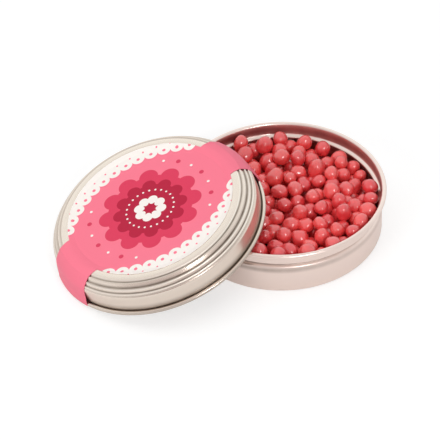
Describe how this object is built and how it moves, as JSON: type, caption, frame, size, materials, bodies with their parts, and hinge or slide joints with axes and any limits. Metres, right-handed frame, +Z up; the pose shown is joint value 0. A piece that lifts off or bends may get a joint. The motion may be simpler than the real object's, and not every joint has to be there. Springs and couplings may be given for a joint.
{
  "type": "round slip-lid tin of sugar pearls",
  "caption": "Shallow round tin with rolled rims, filled with coated sugar pearls, its labelled slip lid leaning on the open base.",
  "frame": {"origin": "centre of the base's flat underside, on the surface it stands on", "axes": "+Z up along the base's axis; the lid leans on the rim on the -X side and the picture looks along +Y from above"},
  "size_m": [0.1355, 0.1017, 0.0377],
  "materials": {
    "tinned_sheet": "warm satin, drawn sheet with rolled edges",
    "label_film": "printed film, satin",
    "sugar_pearl": "polished sugar coat with small highlights"
  },
  "bodies": {
    "base": {"tin_base": "tinned_sheet", "pearl_bed": "sugar_pearl", "pearl_01": "sugar_pearl", "pearl_02": "sugar_pearl", "pearl_03": "sugar_pearl", "pearl_04": "sugar_pearl", "pearl_05": "sugar_pearl", "pearl_06": "sugar_pearl", "pearl_07": "sugar_pearl", "pearl_08": "sugar_pearl", "pearl_09": "sugar_pearl", "pearl_10": "sugar_pearl", "pearl_11": "sugar_pearl", "pearl_12": "sugar_pearl", "pearl_13": "sugar_pearl", "pearl_14": "sugar_pearl", "pearl_15": "sugar_pearl", "pearl_16": "sugar_pearl", "pearl_17": "sugar_pearl", "pearl_18": "sugar_pearl", "pearl_19": "sugar_pearl", "pearl_20": "sugar_pearl", "pearl_21": "sugar_pearl", "pearl_22": "sugar_pearl", "pearl_23": "sugar_pearl", "pearl_24": "sugar_pearl", "pearl_25": "sugar_pearl", "pearl_26": "sugar_pearl", "pearl_27": "sugar_pearl", "pearl_28": "sugar_pearl", "pearl_29": "sugar_pearl", "pearl_30": "sugar_pearl", "pearl_31": "sugar_pearl", "pearl_32": "sugar_pearl", "pearl_33": "sugar_pearl", "pearl_34": "sugar_pearl", "pearl_35": "sugar_pearl", "pearl_36": "sugar_pearl", "pearl_37": "sugar_pearl", "pearl_38": "sugar_pearl", "pearl_39": "sugar_pearl", "pearl_40": "sugar_pearl", "pearl_41": "sugar_pearl", "pearl_42": "sugar_pearl", "pearl_43": "sugar_pearl", "pearl_44": "sugar_pearl", "pearl_45": "sugar_pearl", "pearl_46": "sugar_pearl", "pearl_47": "sugar_pearl", "pearl_48": "sugar_pearl", "pearl_49": "sugar_pearl", "pearl_50": "sugar_pearl", "pearl_51": "sugar_pearl", "pearl_52": "sugar_pearl", "pearl_53": "sugar_pearl", "pearl_54": "sugar_pearl", "pearl_55": "sugar_pearl", "pearl_56": "sugar_pearl"},
    "lid": {"lid_shell": "tinned_sheet", "lid_label": "label_film"}
  },
  "joints": [
    {"name": "lid_lift", "type": "slide", "parent": "base", "child": "lid", "axis": [0, 0, 1], "range_m": [0, 0.06]}
  ]
}
